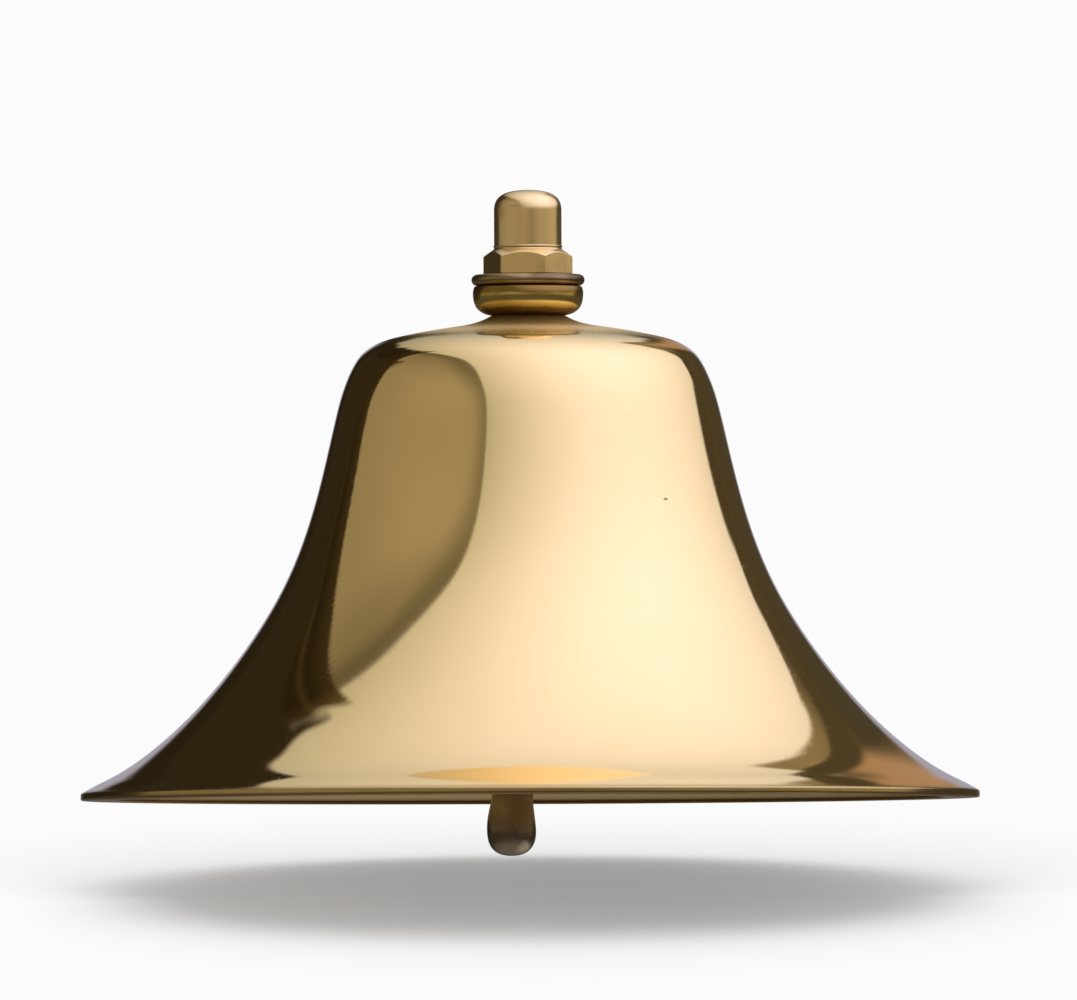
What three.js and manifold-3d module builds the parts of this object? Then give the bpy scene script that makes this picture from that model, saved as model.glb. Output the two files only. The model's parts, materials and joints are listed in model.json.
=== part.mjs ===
// A ship's bell with a 10 inch mouth: a cast brass bell with a wide flared lip, clamped to its bracket by a
// domed nut on a stud through the crown, and a clapper that swings on a pin inside.
//
// Millimetres, +Z up. The origin is the crown seat: the top of the collar, on the bell's axis, where the
// bracket is clamped. The clapper's pin lies along Y, so the clapper swings towards -X and +X.
import * as THREE from 'three';
import { mergeVertices } from 'three/addons/utils/BufferGeometryUtils.js';
import Module from 'manifold-3d';

const wasm = await Module();
wasm.setup();

// ---- Driving dimensions ----

const MOUTH_RADIUS = 127; // half of 10 inches
const SEAT_HEIGHT = 145; // from the rim's flat underside up to the crown seat
const RIM_Z = -SEAT_HEIGHT;
const CEILING_Z = RIM_Z + 124.6; // inside of the crown
const NECK_Z = RIM_Z + 136.5; // top of the bell's own casting
const NECK_RADIUS = 10.5;

const STUD_RADIUS = 7; // M14
const HOLE_RADIUS = 7.5; // clearance hole for the stud
const FIT = 0.3; // radial gap between a shaft and its hole
const GAP = 0.15; // gap between stacked faces

const COLLAR_RADIUS = 15.6;
const WASHER_RADIUS = 16.1;
const WASHER_THICK = 3.1;
const NUT_ACROSS_FLATS = 22;
const NUT_BORE_TOP = 19;
const NUT_TOP_Z = 27.2;
const STUD_TOP = 17.5;
const NUT_TURN = THREE.MathUtils.degToRad(-7.1); // where tightening left the nut's corners

const GASKET_THICK = 1.5;
const GASKET_RADIUS = 16;
const INNER_WASHER_THICK = 2.5;
const INNER_WASHER_RADIUS = 15;
const SPRING_WASHER_THICK = 2.6;
const SPRING_WASHER_RADIUS = 12;
const LOCK_PIN_RADIUS = 1.5;
const SPLIT_WIRE_RADIUS = 0.55;

const PIVOT_Z = -48;
const PIN_RADIUS = 4;
const EYE_RADIUS = 9.5;
const EYE_HALF_WIDTH = 6;
const BUSH_RADIUS = 6;
const THRUST_THICK = 1.2;
const SLOT_HALF_WIDTH = EYE_HALF_WIDTH + THRUST_THICK + 2 * GAP;
const FORK_RADIUS = 13;
const FORK_HALF_WIDTH = 12.4; // along the pin, outside its two ears
const EAR_RADIUS = 9;
const PIN_WASHER_THICK = 1.5;
const PIN_WASHER_RADIUS = 8;

const BALL_DROP = 78; // from the pin to the ball's centre
const BALL_RADIUS = 18;
const BALL_SEAT_RADIUS = 7.5; // flats on the ball, above and below
const BALL_BORE = 5;
const ROD_RADIUS = 4.6;
const TAIL_THREAD = 4;
const TAIL_DROP = 113.2; // from the pin to the clapper's lowest point
const CLAPPER_LEAN = THREE.MathUtils.degToRad(3); // the clapper hangs this far towards -X

const BELL_SIDES = 48;
const FINE_SIDES = 30;
const SMALL_SIDES = 20;

// ---- Materials ----

const finish = (color, roughness, metalness = 1) =>
  new THREE.MeshStandardMaterial({ color, roughness, metalness });

const MATERIALS = {
  bell: finish('#d9b46a', 0.12),
  collar: finish('#c9a040', 0.2),
  washer: finish('#8b6b45', 0.3),
  nut: finish('#b08d52', 0.2),
  steel: finish('#9a9a96', 0.4),
  bush: finish('#b5763c', 0.35),
  leather: finish('#4a2f1c', 0.9, 0),
  clapper: finish('#4a3a22', 0.35),
};

// ---- Outlines and solids ----

const point = (x, y) => new THREE.Vector2(x, y);

// Points along a curve, evenly spaced by its parameter.
const along = (curve, steps) => curve.getPoints(steps);

// A cubic curve through (x, y) pairs.
const sweep = (a, b, c, d, steps) =>
  along(new THREE.CubicBezierCurve(point(...a), point(...b), point(...c), point(...d)), steps);

// An arc about a centre, between two angles in degrees.
function arc(centre, radius, from, to, steps) {
  const start = THREE.MathUtils.degToRad(from);
  const end = THREE.MathUtils.degToRad(to);
  return along(new THREE.EllipseCurve(...centre, radius, radius, start, end, end < start), steps);
}

// Joins corners and stretches of curve into one outline, and drops doubled points.
function outline(...stretches) {
  const points = stretches.flat();
  return points.filter((p, i) => i === 0 || p.distanceTo(points[i - 1]) > 1e-6);
}

// Turns an outline of (radius, height) about the Z axis. An outline off the axis is closed on itself.
function turned(points, sides = SMALL_SIDES) {
  const closed = points[0].x > 0 ? [...points, points[0].clone()] : points;
  return new THREE.LatheGeometry(closed, sides).rotateX(Math.PI / 2);
}

// A ring between two radii and two heights.
function ring(inner, outer, low, high, sides = SMALL_SIDES) {
  return turned([point(outer, low), point(outer, high), point(inner, high), point(inner, low)], sides);
}

// A plain cylinder along Z, between two heights.
function rod(radius, low, high, sides = SMALL_SIDES) {
  return turned([point(0, low), point(radius, low), point(radius, high), point(0, high)], sides);
}

// Lays a shape that was made along Z down along Y.
const alongY = (geometry) => geometry.rotateX(-Math.PI / 2);

function toSolid(geometry) {
  const bare = geometry.clone();
  bare.deleteAttribute('normal');
  bare.deleteAttribute('uv');
  const merged = mergeVertices(bare, 1e-4);
  return new wasm.Manifold(
    new wasm.Mesh({
      numProp: 3,
      vertProperties: new Float32Array(merged.attributes.position.array),
      triVerts: new Uint32Array(merged.index.array),
    }),
  );
}

function toGeometry(solid) {
  const mesh = solid.getMesh();
  const geometry = new THREE.BufferGeometry();
  geometry.setAttribute('position', new THREE.BufferAttribute(mesh.vertProperties, 3));
  geometry.setIndex(new THREE.BufferAttribute(mesh.triVerts, 1));
  geometry.computeVertexNormals();
  return geometry;
}

const cut = (body, ...tools) =>
  toGeometry(tools.reduce((solid, tool) => solid.subtract(toSolid(tool)), toSolid(body)));
const join = (...bodies) => toGeometry(bodies.map(toSolid).reduce((a, b) => a.add(b)));
const common = (a, b) => toGeometry(toSolid(a).intersect(toSolid(b)));

// ---- The bell and what clamps it ----

// Heights in this outline are above the rim's underside.
function bellBody() {
  const outside = outline(
    point(MOUTH_RADIUS, 0),
    point(MOUTH_RADIUS - 0.2, 1.6),
    point(125.6, 2.7),
    point(123.2, 4.1),
    sweep([121, 5.1], [91.3, 18.6], [70.1, 57.7], [68.2, 61.8], 9), // flare
    sweep([68.2, 61.8], [57.4, 85.2], [55.9, 108.3], [51.5, 118.2], 7), // waist
    sweep([51.5, 118.2], [50, 121.7], [48.9, 127.7], [38, 130.4], 7), // shoulder
    sweep([38, 130.4], [30, 132.3], [26, 132.9], [19, 133.6], 2), // domed crown
    sweep([19, 133.6], [14, 134.2], [12.4, 135], [NECK_RADIUS, 136.5], 4), // rise to the neck
  );
  const inside = outline(
    point(HOLE_RADIUS, 136.5),
    point(HOLE_RADIUS, 124.6),
    sweep([34, 124.6], [40.5, 124.6], [43.9, 121.6], [46.2, 115.5], 5),
    sweep([46.2, 115.5], [50.5, 104], [53.5, 84], [61.5, 61], 5),
    sweep([61.5, 61], [66, 46], [86, 15.5], [117.5, 0.6], 7),
    point(116.8, 0),
  );
  return turned(outline(outside, inside), BELL_SIDES).translate(0, 0, RIM_Z);
}

function crownCollar() {
  const bore = STUD_RADIUS + FIT;
  return turned(
    outline(
      sweep([10.3, NECK_Z + GAP], [13.6, NECK_Z + 0.7], [15.4, NECK_Z + 2.2], [COLLAR_RADIUS, -3], 6),
      sweep([COLLAR_RADIUS, -3], [COLLAR_RADIUS + 0.1, -1.2], [COLLAR_RADIUS - 0.2, -0.2], [14.6, 0], 4),
      point(bore, 0),
      point(bore, NECK_Z + GAP),
    ),
    FINE_SIDES,
  );
}

function crownWasher() {
  const edge = WASHER_THICK / 2;
  const low = GAP;
  return turned(
    outline(
      arc([WASHER_RADIUS - edge, low + edge], edge, -90, 90, 6),
      point(STUD_RADIUS + FIT, low + WASHER_THICK),
      point(STUD_RADIUS + FIT, low),
    ),
    FINE_SIDES,
  );
}

function capNut() {
  const low = 2 * GAP + WASHER_THICK;
  const hexTop = 10.1;
  const corner = NUT_ACROSS_FLATS / 2 / Math.cos(Math.PI / 6);
  const neck = 9.9;
  const barrel = 9.55;
  const hexagon = new THREE.CylinderGeometry(corner, corner, hexTop - low, 6)
    .rotateX(Math.PI / 2)
    .rotateZ(Math.PI / 2 + NUT_TURN)
    .translate(0, 0, (hexTop + low) / 2);
  // Chamfered above and below, which scallops the hexagon's edges.
  const chamfered = turned(
    [
      point(0, low),
      point(NUT_ACROSS_FLATS / 2, low),
      point(corner + 0.1, low + 0.9),
      point(corner + 0.1, hexTop - 1.7),
      point(neck, hexTop),
      point(0, hexTop),
    ],
    FINE_SIDES,
  );
  const dome = turned(
    outline(
      point(0, low + 1),
      point(neck, low + 1),
      point(neck, hexTop + 0.2),
      point(barrel, hexTop + 0.7),
      sweep([barrel, 23.4], [barrel - 0.1, 25.6], [6, NUT_TOP_Z], [0, NUT_TOP_Z], 8),
    ),
    FINE_SIDES,
  );
  const thread = rod(STUD_RADIUS + FIT, low - 1, NUT_BORE_TOP);
  return cut(join(common(hexagon, chamfered), dome), thread);
}

// ---- The stack under the crown ----

const GASKET_TOP = CEILING_Z - GAP;
const INNER_WASHER_TOP = GASKET_TOP - GASKET_THICK - GAP;
const SPRING_WASHER_TOP = INNER_WASHER_TOP - INNER_WASHER_THICK - GAP;
const FORK_TOP = SPRING_WASHER_TOP - SPRING_WASHER_THICK - GAP;

// A flat ring around the stud, hanging down from a height.
const stacked = (radius, top, thick) => ring(STUD_RADIUS + FIT, radius, top - thick, top);

const crownGasket = () => stacked(GASKET_RADIUS, GASKET_TOP, GASKET_THICK);

const innerWasher = () => stacked(INNER_WASHER_RADIUS, INNER_WASHER_TOP, INNER_WASHER_THICK);

// A ring sawn through at a slant.
function springWasher() {
  const saw = new THREE.BoxGeometry(12, 1.2, 8)
    .rotateX(THREE.MathUtils.degToRad(35))
    .translate(10, 0, SPRING_WASHER_TOP - SPRING_WASHER_THICK / 2);
  return cut(stacked(SPRING_WASHER_RADIUS, SPRING_WASHER_TOP, SPRING_WASHER_THICK), saw);
}

// ---- The stud, the fork on its foot and the pin through the fork ----

const SLOT_TOP = PIVOT_Z + EYE_RADIUS + 1.5;
const STUD_FOOT = SLOT_TOP + 0.7;
const LOCK_PIN_Z = (FORK_TOP + SLOT_TOP) / 2 + 0.4;

// A rod along X, through the stud and the fork.
const crossRod = (radius, halfLength) =>
  rod(radius, -halfLength, halfLength, 12)
    .rotateY(Math.PI / 2)
    .translate(0, 0, LOCK_PIN_Z);

function hangerStud() {
  const chamfer = 1;
  const bar = turned([
    point(0, STUD_FOOT),
    point(STUD_RADIUS - chamfer, STUD_FOOT),
    point(STUD_RADIUS, STUD_FOOT + chamfer),
    point(STUD_RADIUS, STUD_TOP - chamfer),
    point(STUD_RADIUS - chamfer, STUD_TOP),
    point(0, STUD_TOP),
  ]);
  return cut(bar, crossRod(LOCK_PIN_RADIUS + FIT, 10));
}

function clevis() {
  const top = FORK_TOP;
  const waist = SLOT_TOP + 1;
  const chamfer = 1.2;
  const side = new THREE.Shape(
    outline(
      point(FORK_RADIUS, top),
      point(-FORK_RADIUS, top),
      point(-FORK_RADIUS, waist),
      point(-EAR_RADIUS, waist - 4),
      arc([0, PIVOT_Z], EAR_RADIUS, 180, 360, 12),
      point(EAR_RADIUS, waist - 4),
      point(FORK_RADIUS, waist),
    ),
  );
  const slab = new THREE.ExtrudeGeometry(side, { depth: 2 * FORK_HALF_WIDTH, bevelEnabled: false })
    .rotateX(Math.PI / 2)
    .translate(0, FORK_HALF_WIDTH, 0);
  const bar = turned(
    [
      point(0, PIVOT_Z - EAR_RADIUS - 1),
      point(FORK_RADIUS, PIVOT_Z - EAR_RADIUS - 1),
      point(FORK_RADIUS, top - chamfer),
      point(FORK_RADIUS - chamfer, top),
      point(0, top),
    ],
    FINE_SIDES,
  );
  const depth = SLOT_TOP - PIVOT_Z + 2 * EAR_RADIUS;
  const slot = new THREE.BoxGeometry(3 * FORK_RADIUS, 2 * SLOT_HALF_WIDTH, depth).translate(
    0,
    0,
    SLOT_TOP - depth / 2,
  );
  const pinHole = alongY(rod(PIN_RADIUS + FIT, -20, 20)).translate(0, 0, PIVOT_Z);
  const studHole = rod(STUD_RADIUS + FIT, SLOT_TOP - 1, top + 1);
  const lockHole = crossRod(LOCK_PIN_RADIUS + FIT, 20);
  return cut(common(slab, bar), slot, pinHole, studHole, lockHole);
}

const lockPin = () => crossRod(LOCK_PIN_RADIUS, FORK_RADIUS - 0.6);

const SPLIT_PIN_Y = FORK_HALF_WIDTH + GAP + PIN_WASHER_THICK + 1.5;

function clevisPin() {
  const underHead = -FORK_HALF_WIDTH - GAP;
  const headTop = underHead - 2.5;
  const head = 6.5;
  const chamfer = 0.8;
  const end = SPLIT_PIN_Y + 3;
  const shape = turned([
    point(0, headTop),
    point(head - chamfer, headTop),
    point(head, headTop + chamfer),
    point(head, underHead),
    point(PIN_RADIUS, underHead),
    point(PIN_RADIUS, end - chamfer),
    point(PIN_RADIUS - chamfer, end),
    point(0, end),
  ]);
  const hole = rod(1.3, -6, 6, 12).translate(0, SPLIT_PIN_Y, 0);
  return cut(alongY(shape), hole).translate(0, 0, PIVOT_Z);
}

const pinWasher = () =>
  alongY(ring(PIN_RADIUS + FIT, PIN_WASHER_RADIUS, 0, PIN_WASHER_THICK)).translate(
    0,
    FORK_HALF_WIDTH + GAP,
    PIVOT_Z,
  );

// A wire that goes up one side of the hole, round an eye and down the other, with its ends bent apart.
function splitPin() {
  const leg = SPLIT_WIRE_RADIUS + 0.07;
  const eyeRadius = 2.1;
  const eyeHeight = 6.4;
  const down = [
    [leg, 3.6],
    [leg, 0],
    [leg, -3.8],
    [leg + 0.9, -5.3],
    [leg + 4, -6.4],
  ];
  const route = down.map(([x, z]) => [-x, z]).reverse();
  for (let degrees = 250; degrees >= -70; degrees -= 40) {
    const angle = THREE.MathUtils.degToRad(degrees);
    route.push([eyeRadius * Math.cos(angle), eyeHeight + eyeRadius * Math.sin(angle)]);
  }
  route.push(...down);
  const path = new THREE.CatmullRomCurve3(route.map(([x, z]) => new THREE.Vector3(x, 0, z)));
  const section = new THREE.Shape(arc([0, 0], SPLIT_WIRE_RADIUS, 0, 315, 7));
  return new THREE.ExtrudeGeometry(section, { steps: 48, extrudePath: path }).translate(
    0,
    SPLIT_PIN_Y,
    PIVOT_Z,
  );
}

function thrustWasher(side) {
  const middle = side * (EYE_HALF_WIDTH + GAP + THRUST_THICK / 2);
  return alongY(ring(PIN_RADIUS + FIT, EYE_RADIUS - 0.5, -THRUST_THICK / 2, THRUST_THICK / 2)).translate(
    0,
    middle,
    PIVOT_Z,
  );
}

// ---- The clapper, hanging straight down from its pin at the origin ----

const BALL_SEAT = Math.sqrt(BALL_RADIUS ** 2 - BALL_SEAT_RADIUS ** 2);
const TAIL_TOP = -BALL_DROP - BALL_SEAT - FIT;
const SOCKET_END = TAIL_TOP - 10;

function clapperRod() {
  const shoulder = -BALL_DROP + BALL_SEAT + FIT;
  const shoulderRadius = BALL_SEAT_RADIUS - 0.3;
  const shank = turned([
    point(0, SOCKET_END + 1),
    point(TAIL_THREAD, SOCKET_END + 1),
    point(TAIL_THREAD, TAIL_TOP + 1),
    point(BALL_BORE - FIT, TAIL_TOP + 1),
    point(BALL_BORE - FIT, shoulder),
    point(shoulderRadius, shoulder),
    point(shoulderRadius, shoulder + 2.5),
    point(ROD_RADIUS, shoulder + 8),
    point(ROD_RADIUS, -EYE_RADIUS - 3),
    point(ROD_RADIUS + 1.2, -EYE_RADIUS + 2),
    point(0, -EYE_RADIUS + 2),
  ]);
  const eye = alongY(rod(EYE_RADIUS, -EYE_HALF_WIDTH, EYE_HALF_WIDTH, FINE_SIDES));
  const bore = alongY(rod(BUSH_RADIUS + FIT, -EYE_HALF_WIDTH - 1, EYE_HALF_WIDTH + 1));
  return cut(join(shank, eye), bore);
}

const clapperBush = () =>
  alongY(ring(PIN_RADIUS + FIT, BUSH_RADIUS, -EYE_HALF_WIDTH, EYE_HALF_WIDTH));

function clapperBall() {
  const seatAngle = THREE.MathUtils.radToDeg(Math.acos(BALL_SEAT_RADIUS / BALL_RADIUS));
  return turned(
    outline(
      arc([0, 0], BALL_RADIUS, -seatAngle, seatAngle, 12),
      point(BALL_BORE, BALL_SEAT),
      point(BALL_BORE, -BALL_SEAT),
    ),
  ).translate(0, 0, -BALL_DROP);
}

function clapperTail() {
  const widest = 6.95;
  const neck = 5.8;
  const widestZ = -TAIL_DROP + 7.2;
  return turned(
    outline(
      sweep([0, -TAIL_DROP], [5.2, -TAIL_DROP], [widest, widestZ - 4], [widest, widestZ], 7),
      sweep([widest, widestZ], [widest, widestZ + 4], [neck, TAIL_TOP - 3.5], [neck, TAIL_TOP], 5),
      point(TAIL_THREAD + FIT, TAIL_TOP),
      point(TAIL_THREAD + FIT, SOCKET_END),
      point(0, SOCKET_END),
    ),
  );
}

// ---- The assembly ----

function part(name, material, geometry) {
  const mesh = new THREE.Mesh(geometry, material);
  mesh.name = name;
  return mesh;
}

const clapper = new THREE.Group();
clapper.position.z = PIVOT_Z;
clapper.rotation.y = CLAPPER_LEAN;
clapper.add(
  part('clapper_rod', MATERIALS.clapper, clapperRod()),
  part('clapper_bush', MATERIALS.bush, clapperBush()),
  part('clapper_ball', MATERIALS.clapper, clapperBall()),
  part('clapper_tail', MATERIALS.clapper, clapperTail()),
);

const bell = new THREE.Group();
bell.add(
  part('bell_body', MATERIALS.bell, bellBody()),
  part('crown_collar', MATERIALS.collar, crownCollar()),
  part('crown_washer', MATERIALS.washer, crownWasher()),
  part('cap_nut', MATERIALS.nut, capNut()),
  part('hanger_stud', MATERIALS.steel, hangerStud()),
  part('crown_gasket', MATERIALS.leather, crownGasket()),
  part('inner_washer', MATERIALS.washer, innerWasher()),
  part('spring_washer', MATERIALS.steel, springWasher()),
  part('clevis', MATERIALS.bush, clevis()),
  part('lock_pin', MATERIALS.steel, lockPin()),
  part('clevis_pin', MATERIALS.steel, clevisPin()),
  part('pin_washer', MATERIALS.steel, pinWasher()),
  part('split_pin', MATERIALS.steel, splitPin()),
  part('thrust_washer_front', MATERIALS.bush, thrustWasher(-1)),
  part('thrust_washer_back', MATERIALS.bush, thrustWasher(1)),
  clapper,
);

export default bell;
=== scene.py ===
import json
import math

import bpy
from mathutils import Matrix, Quaternion, Vector


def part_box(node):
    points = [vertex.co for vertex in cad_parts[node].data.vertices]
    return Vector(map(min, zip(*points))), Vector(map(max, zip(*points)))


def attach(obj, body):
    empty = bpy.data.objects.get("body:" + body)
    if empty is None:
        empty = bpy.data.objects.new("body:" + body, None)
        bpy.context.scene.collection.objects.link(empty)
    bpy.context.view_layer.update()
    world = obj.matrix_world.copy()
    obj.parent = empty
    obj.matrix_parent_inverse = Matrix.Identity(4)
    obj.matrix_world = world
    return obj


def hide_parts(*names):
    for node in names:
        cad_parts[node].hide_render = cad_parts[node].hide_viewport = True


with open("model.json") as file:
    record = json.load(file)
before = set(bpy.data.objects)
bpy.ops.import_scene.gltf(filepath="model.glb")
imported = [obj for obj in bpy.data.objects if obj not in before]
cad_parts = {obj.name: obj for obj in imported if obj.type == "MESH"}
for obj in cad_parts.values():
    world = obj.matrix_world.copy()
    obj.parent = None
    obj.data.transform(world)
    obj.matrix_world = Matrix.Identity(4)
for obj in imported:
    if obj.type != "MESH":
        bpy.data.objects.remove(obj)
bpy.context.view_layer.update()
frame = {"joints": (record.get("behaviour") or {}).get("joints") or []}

MM = 0.001
RIM_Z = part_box("bell_body")[0].z
MOUTH_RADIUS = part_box("bell_body")[1].x
PIVOT = Vector(frame["joints"][0]["pos_m"])


# ---- The camera: a long lens a little below the rim, rolled a quarter of a degree ----

def make_camera():
    mouth = 2 * MOUTH_RADIUS
    distance = 25.2 * mouth
    view_width = 1.198 * mouth
    below_rim = 75 * MM
    aim_above_rim = 84.5 * MM
    aside = 2.7 * MM
    roll = math.radians(-0.25)
    sensor = 36
    camera = bpy.data.objects.new("camera", bpy.data.cameras.new("camera"))
    camera.data.sensor_width = sensor
    camera.data.lens = sensor * distance / view_width
    camera.data.clip_end = 100
    camera.location = (aside, -distance, RIM_Z - below_rim)
    pitch = math.atan2(aim_above_rim + below_rim, distance)
    looking = Vector((0, math.cos(pitch), math.sin(pitch))).to_track_quat("-Z", "Y")
    camera.rotation_mode = "QUATERNION"
    camera.rotation_quaternion = looking @ Quaternion((0, 0, 1), roll)
    bpy.context.scene.collection.objects.link(camera)
    bpy.context.scene.camera = camera


make_camera()
bpy.context.scene.view_settings.view_transform = "Standard"


# ---- Nodes ----

class Nodes:
    """A node tree with short calls for the nodes that the materials are made of."""

    def __init__(self, tree):
        self.tree = tree

    def add(self, kind, *values, **settings):
        """A node. values go to its inputs in order, None skips one, and settings are its own properties."""
        node = self.tree.nodes.new("ShaderNode" + kind)
        for key, value in settings.items():
            setattr(node, key, value)
        for socket, value in zip(node.inputs, values):
            self.put(socket, value)
        return node

    def put(self, socket, value):
        """Links a socket to the input, or sets the input's own value. A colour may lack its alpha."""
        if isinstance(value, bpy.types.NodeSocket):
            self.tree.links.new(value, socket)
        elif value is not None:
            is_colour = socket.type == "RGBA" and len(value) == 3
            socket.default_value = (*value, 1) if is_colour else value

    def math(self, operation, *values):
        return self.add("Math", *values, operation=operation).outputs[0]

    def vector_math(self, operation, *values):
        node = self.add("VectorMath", *values, operation=operation)
        scalar = operation in ("LENGTH", "DISTANCE", "DOT_PRODUCT")
        return node.outputs["Value" if scalar else "Vector"]

    def times(self, a, b):
        return self.math("MULTIPLY", a, b)

    def times_plus(self, a, b, c):
        return self.math("MULTIPLY_ADD", a, b, c)

    def remap(self, value, low, high, to_low=0.0, to_high=1.0):
        """value from low..high to to_low..to_high, eased and held at its ends."""
        node = self.add("MapRange", value, low, high, to_low, to_high, interpolation_type="SMOOTHSTEP")
        return node.outputs[0]

    def blend(self, factor, a, b):
        """Colour a to colour b by factor."""
        node = self.add("Mix", data_type="RGBA")
        colour_a, colour_b, result = node.inputs[6], node.inputs[7], node.outputs[2]
        self.put(node.inputs["Factor"], factor)
        self.put(colour_a, a)
        self.put(colour_b, b)
        return result

    def noise(self, where, scale, detail=3.0, roughness=0.5):
        node = self.add("TexNoise")
        self.put(node.inputs["Vector"], where)
        self.put(node.inputs["Scale"], scale)
        self.put(node.inputs["Detail"], detail)
        self.put(node.inputs["Roughness"], roughness)
        return node.outputs["Fac"]

    def cells(self, where, scale, feature="F1"):
        node = self.add("TexVoronoi", feature=feature)
        self.put(node.inputs["Vector"], where)
        self.put(node.inputs["Scale"], scale)
        return node.outputs["Distance"]

    def bump(self, height, distance, normal=None):
        """Raises the surface by height times distance, in metres."""
        node = self.add("Bump")
        self.put(node.inputs["Strength"], 1.0)
        self.put(node.inputs["Distance"], distance)
        self.put(node.inputs["Height"], height)
        self.put(node.inputs["Normal"], normal)
        return node.outputs["Normal"]


class Finish(Nodes):
    """A material on a principled shader, in the coordinates of its piece, which is turned about Z."""

    def __init__(self, name, metallic=1.0):
        self.material = bpy.data.materials.new(name)
        self.material.use_nodes = True
        super().__init__(self.material.node_tree)
        self.shader = self.tree.nodes["Principled BSDF"]
        self.shader.inputs["Metallic"].default_value = metallic
        self.at = self.add("TexCoord").outputs["Object"]
        parts = self.add("SeparateXYZ", self.at)
        x, y, self.z = parts.outputs[:3]
        self.radius = self.vector_math("LENGTH", self.vector_math("MULTIPLY", self.at, (1, 1, 0)))
        self.turn = self.math("ARCTAN2", y, x)

    def made(self, colour, rough, normal):
        """The finished material."""
        for name, value in (("Base Color", colour), ("Roughness", rough), ("Normal", normal)):
            self.put(self.shader.inputs[name], value)
        return self.material

    def lathe_marks(self, per_metre, along=0.4):
        """Fine lines around the turning axis: noise that changes fast across them and slowly along them."""
        where = self.add("CombineXYZ")
        self.put(where.inputs[0], self.radius)
        self.put(where.inputs[1], self.times(self.turn, along / per_metre))
        self.put(where.inputs[2], self.z)
        return self.noise(where.outputs[0], per_metre, detail=2.0)

    def scratches(self, scale, stretch):
        """Short hairlines in several directions."""
        lines = None
        for direction in ((0.3, 0.2, 0.1), (-0.5, 0.9, 0.7), (1.1, -0.4, 1.9)):
            turned = self.add("Mapping", self.at, None, direction, (1, stretch, 1)).outputs[0]
            line = self.remap(self.noise(turned, scale, detail=1.0), 0.66, 0.74)
            lines = line if lines is None else self.math("MAXIMUM", lines, line)
        return lines


def placed(name, data):
    thing = bpy.data.objects.new(name, data)
    bpy.context.scene.collection.objects.link(thing)
    return thing


def mesh_from(verts, faces, name="mesh"):
    mesh = bpy.data.meshes.new(name)
    mesh.from_pydata(verts, [], faces)
    mesh.update()
    return mesh


def band(a, b, count):
    """The faces between two closed rings of points, which start at a and b."""
    return [(a + k, b + k, b + (k + 1) % count, a + (k + 1) % count) for k in range(count)]


# ---- Light: a white room, a soft bright dome that only reflections see, and boards that stand in it ----

WHITE = 0.965
ROOM_GREY = 0.87
BRIGHTEST = (0.63, -0.17, 0.83)
UNDER_NEAR_HORIZON = (0.085, 0.072, 0.052)
UNDER_STRAIGHT_DOWN = (0.40, 0.38, 0.35)
SEEN_FROM_FLOOR = (0.10, 0.13, 0.27)


def make_world():
    """The camera sees a white room. Metal mirrors a dome, brightest high on the right, and dark ground.
    Light that reaches the floor by way of the metal is dimmer and bluer."""
    world = bpy.data.worlds.new("studio")
    world.use_nodes = True
    bpy.context.scene.world = world
    n = Nodes(world.node_tree)
    background = world.node_tree.nodes["Background"]
    direction = n.add("TexCoord").outputs["Generated"]
    level = n.math("ADD", n.vector_math("DOT_PRODUCT", direction, BRIGHTEST), 0.25)
    level = n.math("MAXIMUM", level, 0.12)
    blue = n.times(level, n.times_plus(level, 0.54, 0.69))
    dome = n.add("CombineXYZ", level, level, blue).outputs[0]
    height = n.add("SeparateXYZ", direction).outputs[2]
    under = n.blend(n.remap(height, -0.9, -0.25), UNDER_STRAIGHT_DOWN, UNDER_NEAR_HORIZON)
    seen_in_metal = n.blend(n.remap(height, -0.03, 0.02), under, dome)
    path = n.add("LightPath")
    after_floor = n.math("GREATER_THAN", path.outputs["Diffuse Depth"], 0.5)
    seen_in_metal = n.blend(after_floor, seen_in_metal, SEEN_FROM_FLOOR)
    soft = n.blend(path.outputs["Is Glossy Ray"], (ROOM_GREY, ROOM_GREY, ROOM_GREY), seen_in_metal)
    colour = n.blend(path.outputs["Is Camera Ray"], soft, (WHITE, WHITE, WHITE))
    n.put(background.inputs["Color"], colour)


def direction_of(azimuth, elevation):
    """A direction in degrees: azimuth 0 is towards the camera and positive to the right."""
    a, e = math.radians(azimuth), math.radians(elevation)
    return Vector((math.sin(a) * math.cos(e), -math.cos(a) * math.cos(e), math.sin(e)))


def smooth_step(value, low, high):
    t = min(max((value - low) / (high - low), 0.0), 1.0)
    return t * t * (3 - 2 * t)


def through(*stops):
    """A function that runs smoothly through (azimuth, value) stops and is level beyond them."""
    def value_at(azimuth):
        for (a, low), (b, high) in zip(stops, stops[1:]):
            if azimuth < b:
                return low + (high - low) * smooth_step(azimuth, a, b)
        return stops[-1][1]
    return value_at


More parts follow.
